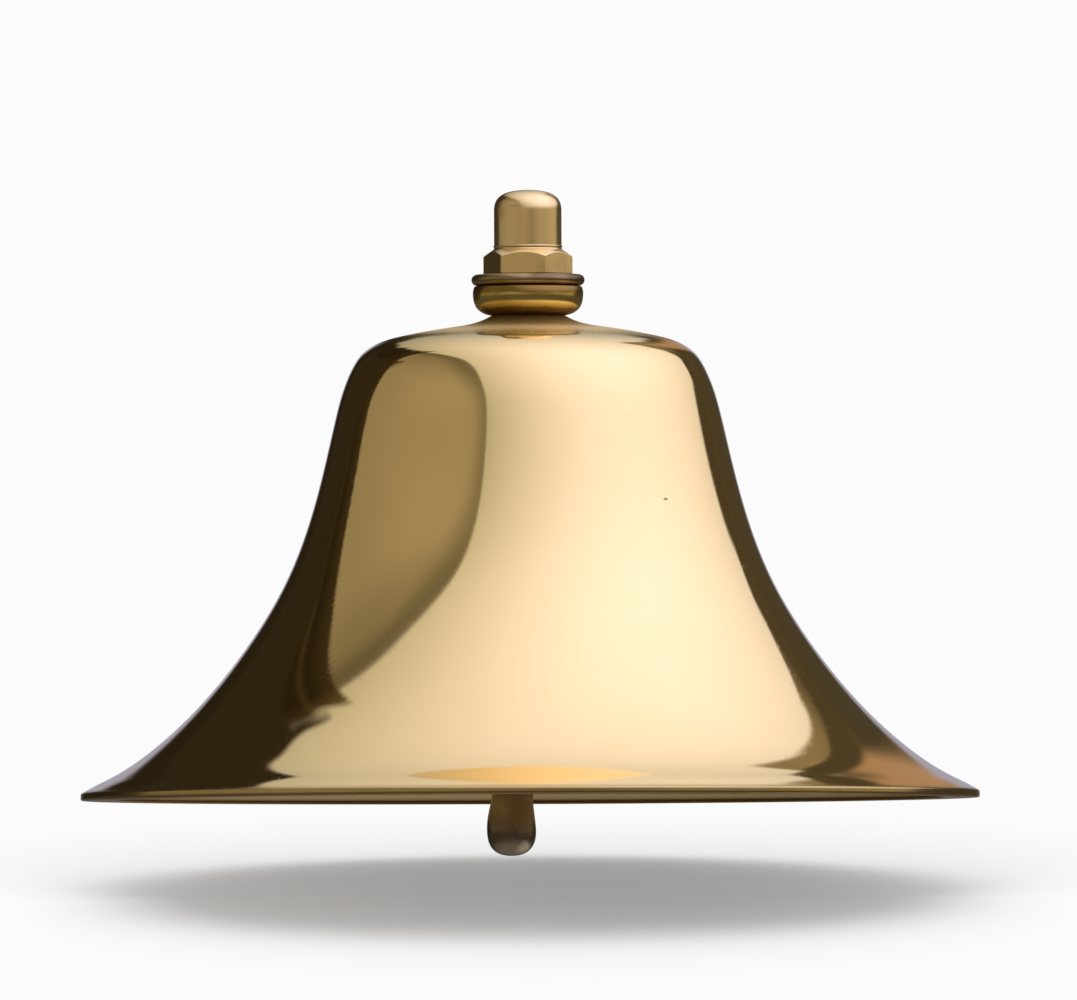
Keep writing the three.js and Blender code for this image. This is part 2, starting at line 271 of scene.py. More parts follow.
def make_card(name, span, low, high, colour, sides=1.5, top=2.0, bottom=0.01, shade=None, distance=5.0,
              centre=RIM_Z / 2):
    """A glowing card that only reflections see. It spans azimuths between two elevations, which may be
    functions of the azimuth, all in degrees, on a sphere about the bell's axis at height centre. It fades in
    over sides, top and bottom, and shade(azimuth, elevation) makes it brighter or darker."""
    start, end = span
    steps_a = round(2 * (end - start))
    steps_e = 48
    verts, cover, tone = [], [], []
    for i in range(steps_a + 1):
        azimuth = start + (end - start) * i / steps_a
        foot = low(azimuth) if callable(low) else low
        head = high(azimuth) if callable(high) else high
        for j in range(steps_e + 1):
            elevation = foot + (head - foot) * j / steps_e
            verts.append(direction_of(azimuth, elevation) * distance)
            inside = smooth_step(min(azimuth - start, end - azimuth), 0, sides)
            inside *= smooth_step(head - elevation, 0, top)
            inside *= smooth_step(elevation - foot, -0.01, bottom)
            cover.append(inside)
            tone.append(shade(azimuth, elevation) if shade else 1.0)
    row = steps_e + 1
    faces = [
        (i * row + j, i * row + j + 1, (i + 1) * row + j + 1, (i + 1) * row + j)
        for i in range(steps_a)
        for j in range(steps_e)
    ]
    mesh = mesh_from(verts, faces, name)
    for label, values in (("cover", cover), ("tone", tone)):
        mesh.attributes.new(label, "FLOAT", "POINT").data.foreach_set("value", values)
    material = bpy.data.materials.new(name)
    material.use_nodes = True
    material.cycles.emission_sampling = "NONE"
    n = Nodes(material.node_tree)
    glow = n.add("Emission", colour, n.add("Attribute", attribute_name="tone").outputs["Fac"])
    covered = n.add("Attribute", attribute_name="cover").outputs["Fac"]
    mix = n.add("MixShader", covered, n.add("BsdfTransparent").outputs[0], glow.outputs[0])
    n.put(material.node_tree.nodes["Material Output"].inputs["Surface"], mix.outputs[0])
    mesh.materials.append(material)
    card = placed(name, mesh)
    card.location = (0, 0, centre)
    card.visible_camera = False
    card.visible_diffuse = False
    card.visible_shadow = False


PANEL_CORNER = -86
PANEL_END = -22


def panel_top(azimuth):
    """A straight board's top edge, and from its corner on an end that is rounded off."""
    if azimuth < PANEL_CORNER:
        return math.degrees(math.atan(1.54 * math.cos(math.radians(azimuth - PANEL_CORNER))))
    along = min((azimuth - PANEL_CORNER) / (PANEL_END - PANEL_CORNER), 1.0)
    roundness = 2.6
    return 57 * (1 - along ** roundness) ** (1 / roundness)


def panel_shade(azimuth, elevation):
    """Darker upwards and towards its rounded end, and dim low on the right."""
    right = smooth_step(azimuth, -90, -45)
    edge = panel_top(azimuth)
    border = smooth_step(elevation, edge - 8 - 9 * right, edge - 3)
    low = math.exp(-((elevation - 17) / 6) ** 2) * smooth_step(azimuth, -92, -50)
    rising = 0.82 + 0.22 * smooth_step(azimuth, -112, -60) - 0.06 * smooth_step(azimuth, -52, -26)
    return rising * (1 - 0.28 * smooth_step(elevation, 32, 50)) * (1 - 0.38 * border) * (1 - 0.4 * low)


def low_wall_shade(azimuth, elevation):
    """Dark opposite the camera's right side, where somebody stands, and brighter to the right."""
    return 1 - 0.42 * math.exp(-((azimuth - 14) / 16) ** 2) + 0.3 * smooth_step(azimuth, 60, 95)


def left_flag_shade(azimuth, elevation):
    """Black, with one faint upright seam, browner at its right end and grey towards its top."""
    seam = math.exp(-((azimuth + 128) / 1.1) ** 2)
    brown = smooth_step(azimuth, -125, -119)
    dark_until = 35 + (azimuth + 160) / 3
    return 1 + 1.3 * seam + 0.7 * brown + 4.0 * smooth_step(elevation, dark_until, dark_until + 9)


def right_flag_shade(azimuth, elevation):
    return 1 + 2.8 * smooth_step(elevation, 24, 40)


def uneven(edge):
    return lambda azimuth: edge(azimuth) + 0.7 * math.sin(0.25 * azimuth)


def make_cards():
    """The walls, a large panel at the left and black flags stand far off. Two boards stand near the bell, so
    that only the flare and the shoulder see them above the flags."""
    tan = (0.37, 0.31, 0.19)
    grey_tan = (0.37, 0.33, 0.24)
    black = (0.021, 0.015, 0.007)
    olive = (0.068, 0.056, 0.035)
    orange = (0.42, 0.27, 0.17)
    lilac = (0.38, 0.38, 0.50)
    white = (0.95, 0.92, 0.88)
    make_card("low_wall", (-119, 112), -4, 16, tan, top=11, shade=low_wall_shade)
    make_card("left_panel", (-117, PANEL_END), -4, panel_top, grey_tan, sides=1.0, top=1.5, distance=4.9,
              shade=panel_shade)
    left_flag_top = through((-183, 20), (-176, 22), (-169, 27), (-160, 34), (-148, 43), (-138, 48),
                            (-128, 52), (-116, 58))
    make_card("left_flag", (-183, -115), -4, left_flag_top, black, sides=2.0, top=2.5, distance=4.9,
              shade=left_flag_shade)
    right_flag_top = through((112, 10), (122, 14), (132, 20), (138, 27), (142, 36), (150, 44), (158, 48),
                             (166, 34), (172, 26), (178, 21))
    make_card("right_flag", (112, 178), -4, right_flag_top, olive, sides=3, top=3, distance=4.9,
              shade=right_flag_shade)
    make_card("right_patch", (155, 178), lambda a: 29 - 1.4 * (a - 155), lambda a: 46 - 1.4 * (a - 155),
              orange, sides=4, top=6, bottom=7, distance=4.8)
    make_card("far_wall", (167, 193), -4, lambda a: 6 + 9 * smooth_step(abs(a - 180), 2, 6), lilac, sides=4,
              top=5, distance=4.7)
    near = {"distance": 0.30, "centre": RIM_Z}
    left_low = through((-147, 22), (-130, 18), (-116, 26), (-108, 44), (-94, 50))
    left_high = uneven(through((-147, 50), (-138, 49), (-128, 49), (-94, 54)))
    make_card("left_board", (-147, -94), left_low, left_high, (0.028, 0.021, 0.011), sides=2.0, top=1.5,
              bottom=6, **near)
    right_high = uneven(through((124, 38), (136, 45), (148, 49)))
    make_card("right_board", (124, 148), through((124, 22), (148, 38)), right_high, (0.075, 0.060, 0.036),
              sides=2.5, top=2.0, bottom=5, **near)
    make_card("table_glow", (60, 160), -72, -22, white, sides=20, top=14, bottom=10)


def make_floor():
    """A pale sweep that rises to the back. Past the soft shadow it glows as white as the room."""
    middle = RIM_Z - 28.3 * MM
    rise, length = 38 * MM, 0.35
    shadow_aside = 4 * MM
    rings, sides, radius = 60, 96, 1.2
    verts = [(0, 0, middle)]
    for i in range(1, rings + 1):
        r = radius * (i / rings) ** 1.5
        for k in range(sides):
            turn = 2 * math.pi * k / sides
            x, y = r * math.cos(turn), r * math.sin(turn)
            verts.append((x, y, middle + rise * math.tanh(y / length)))
    faces = [(0, 1 + k, 1 + (k + 1) % sides) for k in range(sides)]
    for i in range(rings - 1):
        a, b = 1 + i * sides, 1 + (i + 1) * sides
        faces += band(a, b, sides)
    mesh = mesh_from(verts, faces, "floor")
    mesh.shade_smooth()
    material = bpy.data.materials.new("pale_floor")
    material.use_nodes = True
    n = Nodes(material.node_tree)
    at = n.add("TexCoord").outputs["Object"]
    flat = n.vector_math("MULTIPLY", n.vector_math("SUBTRACT", at, (shadow_aside, 0, 0)), (1, 0.95, 0))
    away = n.vector_math("LENGTH", flat)
    heading = n.add("SeparateXYZ", n.vector_math("NORMALIZE", flat)).outputs
    sideways = n.math("ABSOLUTE", heading[0])
    backwards = n.math("MAXIMUM", heading[1], 0.0)
    paper = n.add("BsdfDiffuse", (0.72, 0.72, 0.72)).outputs[0]
    # The fill glow lifts the floor's shadow: painted light.
    fill = n.add("Emission", (0.285, 0.288, 0.295)).outputs[0]
    near = n.add("AddShader", paper, fill).outputs[0]
    far = n.add("Emission", (WHITE, WHITE, WHITE)).outputs[0]
    # Painted light: the white glow's edge trims the bell's cast shadow. It starts nearer at the sides and
    # farther out behind.
    fade_from = n.times_plus(sideways, 0.060, 0.035)
    fade_from = n.times_plus(backwards, 0.080, fade_from)
    fade_to = n.times_plus(sideways, -0.145, 0.30)
    fade_to = n.times_plus(backwards, 0.080, fade_to)
    mix = n.add("MixShader", n.remap(away, fade_from, fade_to), near, far)
    n.put(material.node_tree.nodes["Material Output"].inputs["Surface"], mix.outputs[0])
    mesh.materials.append(material)
    floor = placed("floor", mesh)
    floor.visible_glossy = False


make_world()
make_cards()
make_floor()


# ---- Materials ----

BRASS = (0.95, 0.71, 0.34)


def polished_brass():
    """Mirror-polished, with faint waves, hairlines and a few pits; satin around the crown, with painted
    shade darkening the neck under the collar, and darker and rougher at the lip."""
    f = Finish("polished_brass")
    height = f.math("SUBTRACT", f.z, RIM_Z)
    cloud = f.noise(f.at, 22.0, detail=4.0)
    marks = f.lathe_marks(900.0)
    lines = f.scratches(900.0, 0.03)
    specks = f.remap(f.cells(f.at, 160.0), 0.05, 0.02)
    specks = f.times(specks, f.remap(f.noise(f.at, 35.0), 0.60, 0.66))
    pit_at = (37.9 * MM, -46.3 * MM, RIM_Z + 83.4 * MM)
    spread = f.vector_math("MULTIPLY", f.vector_math("SUBTRACT", f.at, pit_at), (0.55, 0.55, 1.3))
    ragged = f.times(f.noise(f.at, 1500.0), 0.4 * MM)
    pit = f.remap(f.math("ADD", f.vector_math("LENGTH", spread), ragged), 0.95 * MM, 0.55 * MM)
    pits = f.math("MAXIMUM", pit, specks)
    satin = f.remap(f.radius, 46 * MM, 20 * MM)
    # Painted shade: the neck is darkened where the collar sits on it, blotched by the cloud.
    neck = f.times(f.remap(f.radius, 30 * MM, 15 * MM), f.remap(cloud, 0.2, 0.6, 0.8, 1.0))
    # Darker and rougher over the lowest few millimetres of the lip, in blotches.
    lip = f.remap(height, 3.0 * MM, 1.9 * MM)
    lip_darkening = f.times(lip, f.remap(cloud, 0.25, 0.7, 0.75, 1.0))
    colour = f.blend(f.remap(cloud, 0.3, 0.7), (0.94, 0.70, 0.33), (0.96, 0.72, 0.35))
    colour = f.blend(lip_darkening, colour, (0.50, 0.36, 0.15))
    # The painted shade at the neck.
    colour = f.blend(neck, colour, (0.44, 0.29, 0.09))
    colour = f.blend(pits, colour, (0.13, 0.09, 0.05))
    rough = f.times_plus(marks, 0.02, 0.045)
    rough = f.times_plus(lines, 0.05, rough)
    rough = f.times_plus(lip, 0.16, rough)
    rough = f.times_plus(satin, 0.52, rough)
    rough = f.times_plus(pits, 0.3, rough)
    waves = f.bump(f.noise(f.at, 26.0, detail=1.0), 0.05 * MM)
    normal = f.bump(f.times(pits, -1.0), 0.05 * MM, waves)
    return f.made(colour, rough, normal)


def bell_inside():
    """Sand-cast above; turned below, bright where the ball hits, with painted shade darkening it at the lip.
    """
    f = Finish("bell_inside")
    height = f.math("SUBTRACT", f.z, RIM_Z)
    wavering = f.math("ADD", height, f.times(f.noise(f.at, 60.0), 6 * MM))
    turned = f.remap(wavering, 60 * MM, 52 * MM)
    grain = f.noise(f.at, 900.0, detail=5.0, roughness=0.65)
    blotch = f.noise(f.at, 40.0, detail=5.0)
    marks = f.lathe_marks(1400.0)
    sound_bow = (70 * MM, 0, -(RIM_Z + 29 * MM))
    struck = f.vector_math("LENGTH", f.vector_math("SUBTRACT", f.vector_math("ABSOLUTE", f.at), sound_bow))
    struck = f.remap(f.math("ADD", struck, f.times(grain, 2 * MM)), 8 * MM, 5 * MM)
    cast = f.blend(f.remap(blotch, 0.35, 0.65), (0.36, 0.23, 0.09), (0.56, 0.39, 0.17))
    colour = f.blend(turned, cast, (0.70, 0.51, 0.23))
    colour = f.blend(struck, colour, BRASS)
    # Painted shade: the inside is darkened and roughened towards the lip.
    painted_shade = f.remap(f.times_plus(f.noise(f.at, 30.0), 3 * MM, height), 9 * MM, 4 * MM)
    colour = f.blend(painted_shade, colour, (0.56, 0.43, 0.22))
    rough = f.times_plus(grain, 0.25, f.remap(turned, 0.0, 1.0, 0.42, 0.16))
    rough = f.times_plus(painted_shade, 0.2, rough)
    rough = f.times_plus(struck, -0.1, rough)
    coarse = f.bump(f.times(grain, f.remap(turned, 0.0, 1.0, 1.0, 0.1)), 0.12 * MM)
    normal = f.bump(f.times(marks, turned), 0.01 * MM, coarse)
    return f.made(colour, rough, normal)


def turned_metal(name, bright, dull, roughness, marks_per_metre=1800.0, marks_depth=0.004, dull_share=0.5):
    """Turned metal in two tones: bright where it is rubbed, dull in blotches, and lined around its axis."""
    f = Finish(name)
    marks = f.lathe_marks(marks_per_metre)
    blotch = f.noise(f.at, 90.0, detail=2.5, roughness=0.5)
    lines = f.scratches(1100.0, 0.05)
    dulled = f.remap(blotch, 0.62 - dull_share * 0.4, 0.78 - dull_share * 0.2)
    colour = f.blend(dulled, bright, dull)
    colour = f.blend(f.times(lines, 0.4), colour, bright)
    rough = f.times_plus(marks, 0.06, roughness - 0.03)
    rough = f.times_plus(dulled, 0.10, rough)
    wavy = f.bump(f.noise(f.at, 120.0, detail=2.0), 0.02 * MM)
    normal = f.bump(marks, marks_depth * MM, wavy)
    return f.made(colour, rough, normal)


def collar_brass():
    """Amber brass, bright around its middle, with painted shade darkening it where it meets the washer and
    the bell.
    """
    f = Finish("collar_brass")
    blotch = f.noise(f.at, 90.0, detail=5.0, roughness=0.6)
    streaks = f.noise(f.vector_math("MULTIPLY", f.at, (1, 1, 5)), 160.0, detail=3.0)
    level = f.math("ADD", f.z, f.times(f.math("SUBTRACT", streaks, 0.5), 2.2 * MM))
    # Painted shade: darker bands under the washer and where the collar meets the bell, with streaky edges.
    above = f.remap(level, -2.9 * MM, -1.7 * MM)
    below = f.remap(level, -5.7 * MM, -6.7 * MM)
    painted_shade = f.math("MAXIMUM", above, below)
    amber = f.blend(f.remap(blotch, 0.35, 0.7), (0.92, 0.70, 0.26), (0.80, 0.57, 0.17))
    colour = f.blend(painted_shade, amber, (0.32, 0.19, 0.05))
    rough = f.times_plus(blotch, 0.10, 0.13)
    rough = f.times_plus(painted_shade, 0.10, rough)
    normal = f.bump(f.lathe_marks(1800.0), 0.004 * MM, f.bump(blotch, 0.03 * MM))
    return f.made(colour, rough, normal)


def dark_bronze():
    """The clapper's brown patina, rubbed brighter where the ball strikes."""
    f = Finish("dark_bronze")
    blotch = f.noise(f.at, 110.0, detail=6.0, roughness=0.62)
    grain = f.noise(f.at, 1300.0, detail=3.0)
    dents = f.cells(f.at, 230.0)
    strike = (18 * MM, 0, 78 * MM)
    from_strike = f.vector_math("LENGTH", f.vector_math("SUBTRACT", f.vector_math("ABSOLUTE", f.at), strike))
    rubbed = f.remap(f.math("ADD", from_strike, f.times(blotch, 4 * MM)), 8.5 * MM, 5 * MM)
    worn = f.times(f.remap(blotch, 0.52, 0.7), 0.45)
    colour = f.blend(worn, (0.26, 0.205, 0.145), (0.40, 0.32, 0.22))
    colour = f.blend(rubbed, colour, (0.82, 0.60, 0.30))
    rough = f.remap(grain, 0.2, 0.8, 0.25, 0.37)
    rough = f.times_plus(rubbed, -0.12, rough)
    shallow = f.bump(dents, 0.10 * MM)
    normal = f.bump(grain, 0.004 * MM, shallow)
    return f.made(colour, rough, normal)


def zinc_steel():
    """Zinc plate: grey with a faint spangle, dulled in patches."""
    f = Finish("zinc_steel")
    spangle = f.cells(f.at, 420.0)
    blotch = f.noise(f.at, 150.0, detail=4.0)
    marks = f.lathe_marks(2400.0)
    colour = f.blend(f.remap(spangle, 0.1, 0.8), (0.50, 0.50, 0.49), (0.62, 0.62, 0.60))
    colour = f.blend(f.remap(blotch, 0.5, 0.72), colour, (0.33, 0.32, 0.30))
    rough = f.times_plus(blotch, 0.2, 0.22)
    normal = f.bump(marks, 0.004 * MM)
    return f.made(colour, rough, normal)


def cast_bronze():
    """The fork: sand-cast skin, oiled dark in its hollows."""
    f = Finish("cast_bronze")
    grain = f.noise(f.at, 700.0, detail=6.0, roughness=0.7)
    blotch = f.noise(f.at, 70.0, detail=4.0)
    colour = f.blend(f.remap(blotch, 0.35, 0.68), (0.50, 0.33, 0.15), (0.30, 0.19, 0.085))
    colour = f.blend(f.remap(grain, 0.48, 0.30), colour, (0.15, 0.09, 0.04))
    return f.made(colour, f.remap(grain, 0.3, 0.7, 0.36, 0.56), f.bump(grain, 0.12 * MM))


def oiled_leather():
    """Vegetable-tanned leather, oiled nearly black, with pores and creases."""
    f = Finish("oiled_leather", metallic=0.0)
    pores = f.cells(f.at, 1500.0)
    creases = f.cells(f.at, 320.0, feature="DISTANCE_TO_EDGE")
    blotch = f.noise(f.at, 120.0, detail=4.0)
    colour = f.blend(f.remap(blotch, 0.3, 0.7), (0.085, 0.040, 0.018), (0.16, 0.080, 0.036))
    colour = f.blend(f.remap(creases, 0.10, 0.0), colour, (0.035, 0.016, 0.008))
    height = f.math("ADD", f.times(pores, 0.5), f.remap(creases, 0.0, 0.15))
    return f.made(colour, f.remap(blotch, 0.3, 0.7, 0.5, 0.7), f.bump(height, 0.08 * MM))


MATERIALS = {
    "polished_brass": polished_brass(),
    "bell_inside": bell_inside(),
    "collar_brass": collar_brass(),
    "aged_brass": turned_metal("aged_brass", (0.40, 0.29, 0.15), (0.19, 0.13, 0.06), 0.28, dull_share=0.6),
    "nut_brass": turned_metal("nut_brass", (0.93, 0.69, 0.35), (0.76, 0.55, 0.27), 0.23,
                              marks_per_metre=1300.0, marks_depth=0.0006, dull_share=0.25),
    "bearing_bronze": turned_metal("bearing_bronze", (0.74, 0.46, 0.22), (0.42, 0.25, 0.11), 0.3),
    "dark_bronze": dark_bronze(),
    "zinc_steel": zinc_steel(),
    "cast_bronze": cast_bronze(),
    "leather": oiled_leather(),
}


# ---- Outlines, in (radius, height) ----

def cubic(a, b, c, d, steps):
    """Points along a cubic curve, the last one included."""
    points = []
    for i in range(steps + 1):
        t = i / steps
        weights = ((1 - t) ** 3, 3 * (1 - t) ** 2 * t, 3 * (1 - t) * t * t, t ** 3)
        points.append(tuple(sum(w * p[k] for w, p in zip(weights, (a, b, c, d))) for k in (0, 1)))
    return points


def arc(centre, radius, start, end, steps):
    """Points along an arc between two angles in degrees."""
    turns = (math.radians(start + (end - start) * i / steps) for i in range(steps + 1))
    return [(centre[0] + radius * math.cos(t), centre[1] + radius * math.sin(t)) for t in turns]


def rounded(corners, radius, steps=5):
    """A closed outline with each of its corners rounded, unless the corner lies on the axis."""
    result = []
    count = len(corners)
    for i, corner in enumerate(corners):
        here = Vector(corner)
        before = Vector(corners[i - 1]) - here
        after = Vector(corners[(i + 1) % count]) - here
        if corner[0] == 0:
            result.append(corner)
            continue
        reach = min(radius, 0.45 * before.length, 0.45 * after.length)
        a, b = here + before.normalized() * reach, here + after.normalized() * reach
        for k in range(steps + 1):
            t = k / steps
            p = (1 - t) ** 2 * a + 2 * t * (1 - t) * here + t * t * b
            result.append((p.x, p.y))
    return result


def tidy(points):
    """Drops doubled points."""
    return [p for i, p in enumerate(points) if i == 0 or math.dist(p, points[i - 1]) > 1e-6]


def scaled(points, lift=0.0):
    """An outline in millimetres made metres."""
    return [(x * MM, y * MM + lift) for x, y in points]


# ---- Meshes ----

def new_piece(name, mesh, slot, body, nodes, place=Matrix.Identity(4)):
    """A piece in the material of its slot, which rides on its body and stands for its CAD nodes."""
    mesh.name = name
    mesh.materials.clear()
    mesh.materials.append(MATERIALS[slot])
    mesh.shade_smooth()
    mesh.set_sharp_from_angle(angle=math.radians(40))
    piece = placed(name, mesh)
    piece.matrix_world = place
    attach(piece, body)
    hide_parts(*nodes)


def lathe(points, sides=96, shape=None):
    """Turns an outline of (radius, height) about Z. It closes on itself, or starts and ends on the axis.
    shape(turn, radius, height) may move each ring point, and returns the new radius and height."""
    points = tidy(points)
    capped = points[0][0] == 0
    rings = points[1:-1] if capped else points
    verts = []
    for r, z in rings:
        for k in range(sides):
            turn = 2 * math.pi * k / sides
            rr, zz = shape(turn, r, z) if shape else (r, z)
            verts.append((rr * math.cos(turn), rr * math.sin(turn), zz))
    faces = []
    last = len(rings) - 1
    for i in range(last if capped else last + 1):
        a, b = i * sides, ((i + 1) % len(rings)) * sides
        faces += [(a + k, a + (k + 1) % sides, b + (k + 1) % sides, b + k) for k in range(sides)]
    if capped:
        start, end = len(verts), len(verts) + 1
        verts += [(0, 0, points[0][1]), (0, 0, points[-1][1])]
        faces += [((k + 1) % sides, k, start) for k in range(sides)]
        faces += [(last * sides + k, last * sides + (k + 1) % sides, end) for k in range(sides)]
    return mesh_from(verts, faces)


def part_turn(points, gap, sides=96, rise=0.0, slant=0.0):
    """Turns a closed outline about Z, but for a gap in degrees. The ring rises by rise on its way round, and
    slant leans its two ends by so many degrees for each metre of height."""
    verts, faces = [], []
    count = len(points)
    middle = sum(z for _, z in points) / count
    for k in range(sides + 1):
        share = k / sides
        for r, z in points:
            lean = slant * (z - middle)
            turn = math.radians(gap / 2 + (360 - gap) * share + lean)
            verts.append((r * math.cos(turn), r * math.sin(turn), z + rise * (share - 0.5)))
    for k in range(sides):
        a, b = k * count, (k + 1) * count
        faces += band(a, b, count)
    faces.append(tuple(range(count)))
    faces.append(tuple(reversed(range(sides * count, (sides + 1) * count))))
    return mesh_from(verts, faces)


def extrude(points, low, high):
    """A closed outline in (x, z), pulled along Y. It may run either way round: the faces look outwards."""
    count = len(points)
    turns = zip(points, points[1:] + points[:1])
    if sum(x * next_z - next_x * z for (x, z), (next_x, next_z) in turns) > 0:
        points = points[::-1]
    verts = [(x, y, z) for y in (low, high) for x, z in points]
    faces = [(i, (i + 1) % count, count + (i + 1) % count, count + i) for i in range(count)]
    faces += [tuple(reversed(range(count))), tuple(range(count, 2 * count))]
    return mesh_from(verts, faces)


def evaluated(mesh, *modifiers):
    """The mesh with modifiers applied, each a kind and its settings."""
    piece = placed("working", mesh)
    for kind, settings in modifiers:
        modifier = piece.modifiers.new(kind, kind)
        for key, value in settings.items():
            setattr(modifier, key, value)
    bpy.context.view_layer.update()
    graph = bpy.context.evaluated_depsgraph_get()
    result = bpy.data.meshes.new_from_object(piece.evaluated_get(graph))
    bpy.data.objects.remove(piece)
    return result


def boolean(mesh, tool, operation="DIFFERENCE"):
    other = placed("tool", tool)
    result = evaluated(mesh, ("BOOLEAN", {"object": other, "operation": operation, "solver": "EXACT"}))
    bpy.data.objects.remove(other)
    return result


def cut(mesh, *tools):
    for tool in tools:
        mesh = boolean(mesh, tool)
    return mesh


def softened(mesh, voxel, passes):
    """Rounds a mesh as forging or casting does."""
    return evaluated(
        mesh,
        ("REMESH", {"mode": "VOXEL", "voxel_size": voxel, "use_smooth_shade": True}),
        ("SMOOTH", {"factor": 0.5, "iterations": passes}),
    )


def moved(mesh, matrix):
    mesh.transform(matrix)
    return mesh


ALONG_Y = Matrix.Rotation(math.radians(-90), 4, "X")
ALONG_X = Matrix.Rotation(math.radians(90), 4, "Y")


def bored(radius, low, high, chamfer, sides=64):
    """A tool that bores a hole along Z between two heights and breaks its two edges."""
    over = 2 * MM
    return lathe([
        (0, low - over), (radius + chamfer + over, low - over), (radius, low + chamfer),
        (radius, high - chamfer), (radius + chamfer + over, high + over), (0, high + over),
    ], sides)


# ---- The bell ----

def bell_outline():
    """The bell's outside and inside, in millimetres above the rim, and how many points the outside has."""
    mouth, lip_top, lip_edge = 127.0, 1.5, 0.7
    lip = [(mouth, 0.3), (mouth, 0.9), (mouth, lip_top)]
    lip += arc((mouth - lip_edge, lip_top), lip_edge, 0, 62, 7)
    lip += cubic(lip[-1], (125.2, 2.9), (123.2, 4.05), (121, 5.1), 8)
    flare = cubic((121, 5.1), (91.3, 18.6), (70.1, 57.7), (68.2, 61.8), 56)
    flare += cubic((68.2, 61.8), (57.4, 85.2), (55.9, 108.3), (51.5, 118.2), 40)
    flare += cubic((51.5, 118.2), (50, 121.7), (48.9, 127.7), (38, 130.4), 30)
    flare += cubic((38, 130.4), (30, 132.2), (25, 132.9), (19, 133.75), 12)
    outside = lip + faired(tidy(flare))
    outside += cubic((19, 133.75), (15.6, 134.35), (13.0, 135.1), (10.7, 136.5), 14)
    inside = [(9.9, 136.7), (7.9, 136.7), (7.5, 136.3), (7.5, 125.2), (8.1, 124.6)]
    inside += cubic((14, 124.6), (40.5, 124.6), (43.9, 121.6), (46.2, 115.5), 26)
    inside += cubic((46.2, 115.5), (50.5, 104), (53.5, 84), (61.5, 61), 26)
    inside += cubic((61.5, 61), (66, 46), (86, 15.5), (117.5, 0.6), 36)
    inside += [(116.9, 0.12), (116.8, 0.0), (126.6, 0.0), (126.9, 0.08)]
    outside = tidy(outside)
    return tidy(outside + inside), len(outside)


def faired(points):
    """Eases an outline where its curves join: strongly along the flare and the waist, little at the
    shoulder, and not at its ends."""
    length = [0.0]
    for a, b in zip(points, points[1:]):
        length.append(length[-1] + math.dist(a, b))
    spacing, passes = 0.8, 200
    count = round(length[-1] / spacing)
    even = []
    k = 0
    for i in range(count + 1):
        goal = length[-1] * i / count
        while k < len(points) - 2 and length[k + 1] < goal:
            k += 1
        share = (goal - length[k]) / (length[k + 1] - length[k])
        even.append(Vector(points[k]).lerp(Vector(points[k + 1]), share))
    strength = [
        0.02 + 0.98 * smooth_step(p.y, 5, 20) * (1 - smooth_step(p.y, 100, 114))
        + 0.15 * smooth_step(p.y, 106, 112) * (1 - smooth_step(p.y, 121, 126))
        for p in even
    ]
    for _ in range(passes):
        even = [even[0]] + [
            b + (a - 2 * b + c) * (0.25 * strength[i + 1])
            for i, (a, b, c) in enumerate(zip(even, even[1:], even[2:]))
        ] + [even[-1]]
    return [(p.x, p.y) for p in even]


def make_bell():
    """One closed shell. Its inside, from the stud's hole to the lip, has the cast finish."""
    points, outside_count = bell_outline()
    sides = 240
    mesh = lathe(scaled(points, RIM_Z), sides)
    new_piece("bell", mesh, "polished_brass", "bell", ["bell_body"])
    mesh.materials.append(MATERIALS["bell_inside"])
    first_inside = outside_count + 3
    last_inside = len(points) - 4
    for polygon in mesh.polygons:
        ring = polygon.index // sides
        if first_inside <= ring < last_inside:
            polygon.material_index = 1


# ---- What clamps the bell at its crown ----

STUD_BORE = 7.3


def ring_size(node):
    """A CAD ring's radius, foot and top."""
    low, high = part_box(node)
    return high.x / MM, low.z / MM, high.z / MM


def make_collar():
    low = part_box("crown_collar")[0].z / MM
    points = [(STUD_BORE, low), (9.9, low)]
    points += cubic((10.2, low + 0.02), (13.4, low + 0.4), (15.2, low + 2.0), (15.5, -3.6), 28)
    points += cubic((15.5, -3.6), (15.7, -2.5), (15.65, -1.4), (15.35, -0.55), 14)
    points += cubic((15.35, -0.55), (15.25, -0.2), (15.05, 0.0), (14.6, 0.0), 8)
    points += [(STUD_BORE, 0.0)]
    new_piece("collar", lathe(scaled(points), 160), "collar_brass", "bell", ["crown_collar"])


def make_crown_washer():
    radius, low, high = ring_size("crown_washer")
    edge = (high - low) / 2
    points = arc((radius - edge, low + edge), edge, -90, 90, 20)
    chamfer = 0.4
    points += [(STUD_BORE + chamfer, high), (STUD_BORE, high - chamfer)]
    points += [(STUD_BORE, low + chamfer), (STUD_BORE + chamfer, low)]
    new_piece("washer", lathe(scaled(points), 160), "aged_brass", "bell", ["crown_washer"])


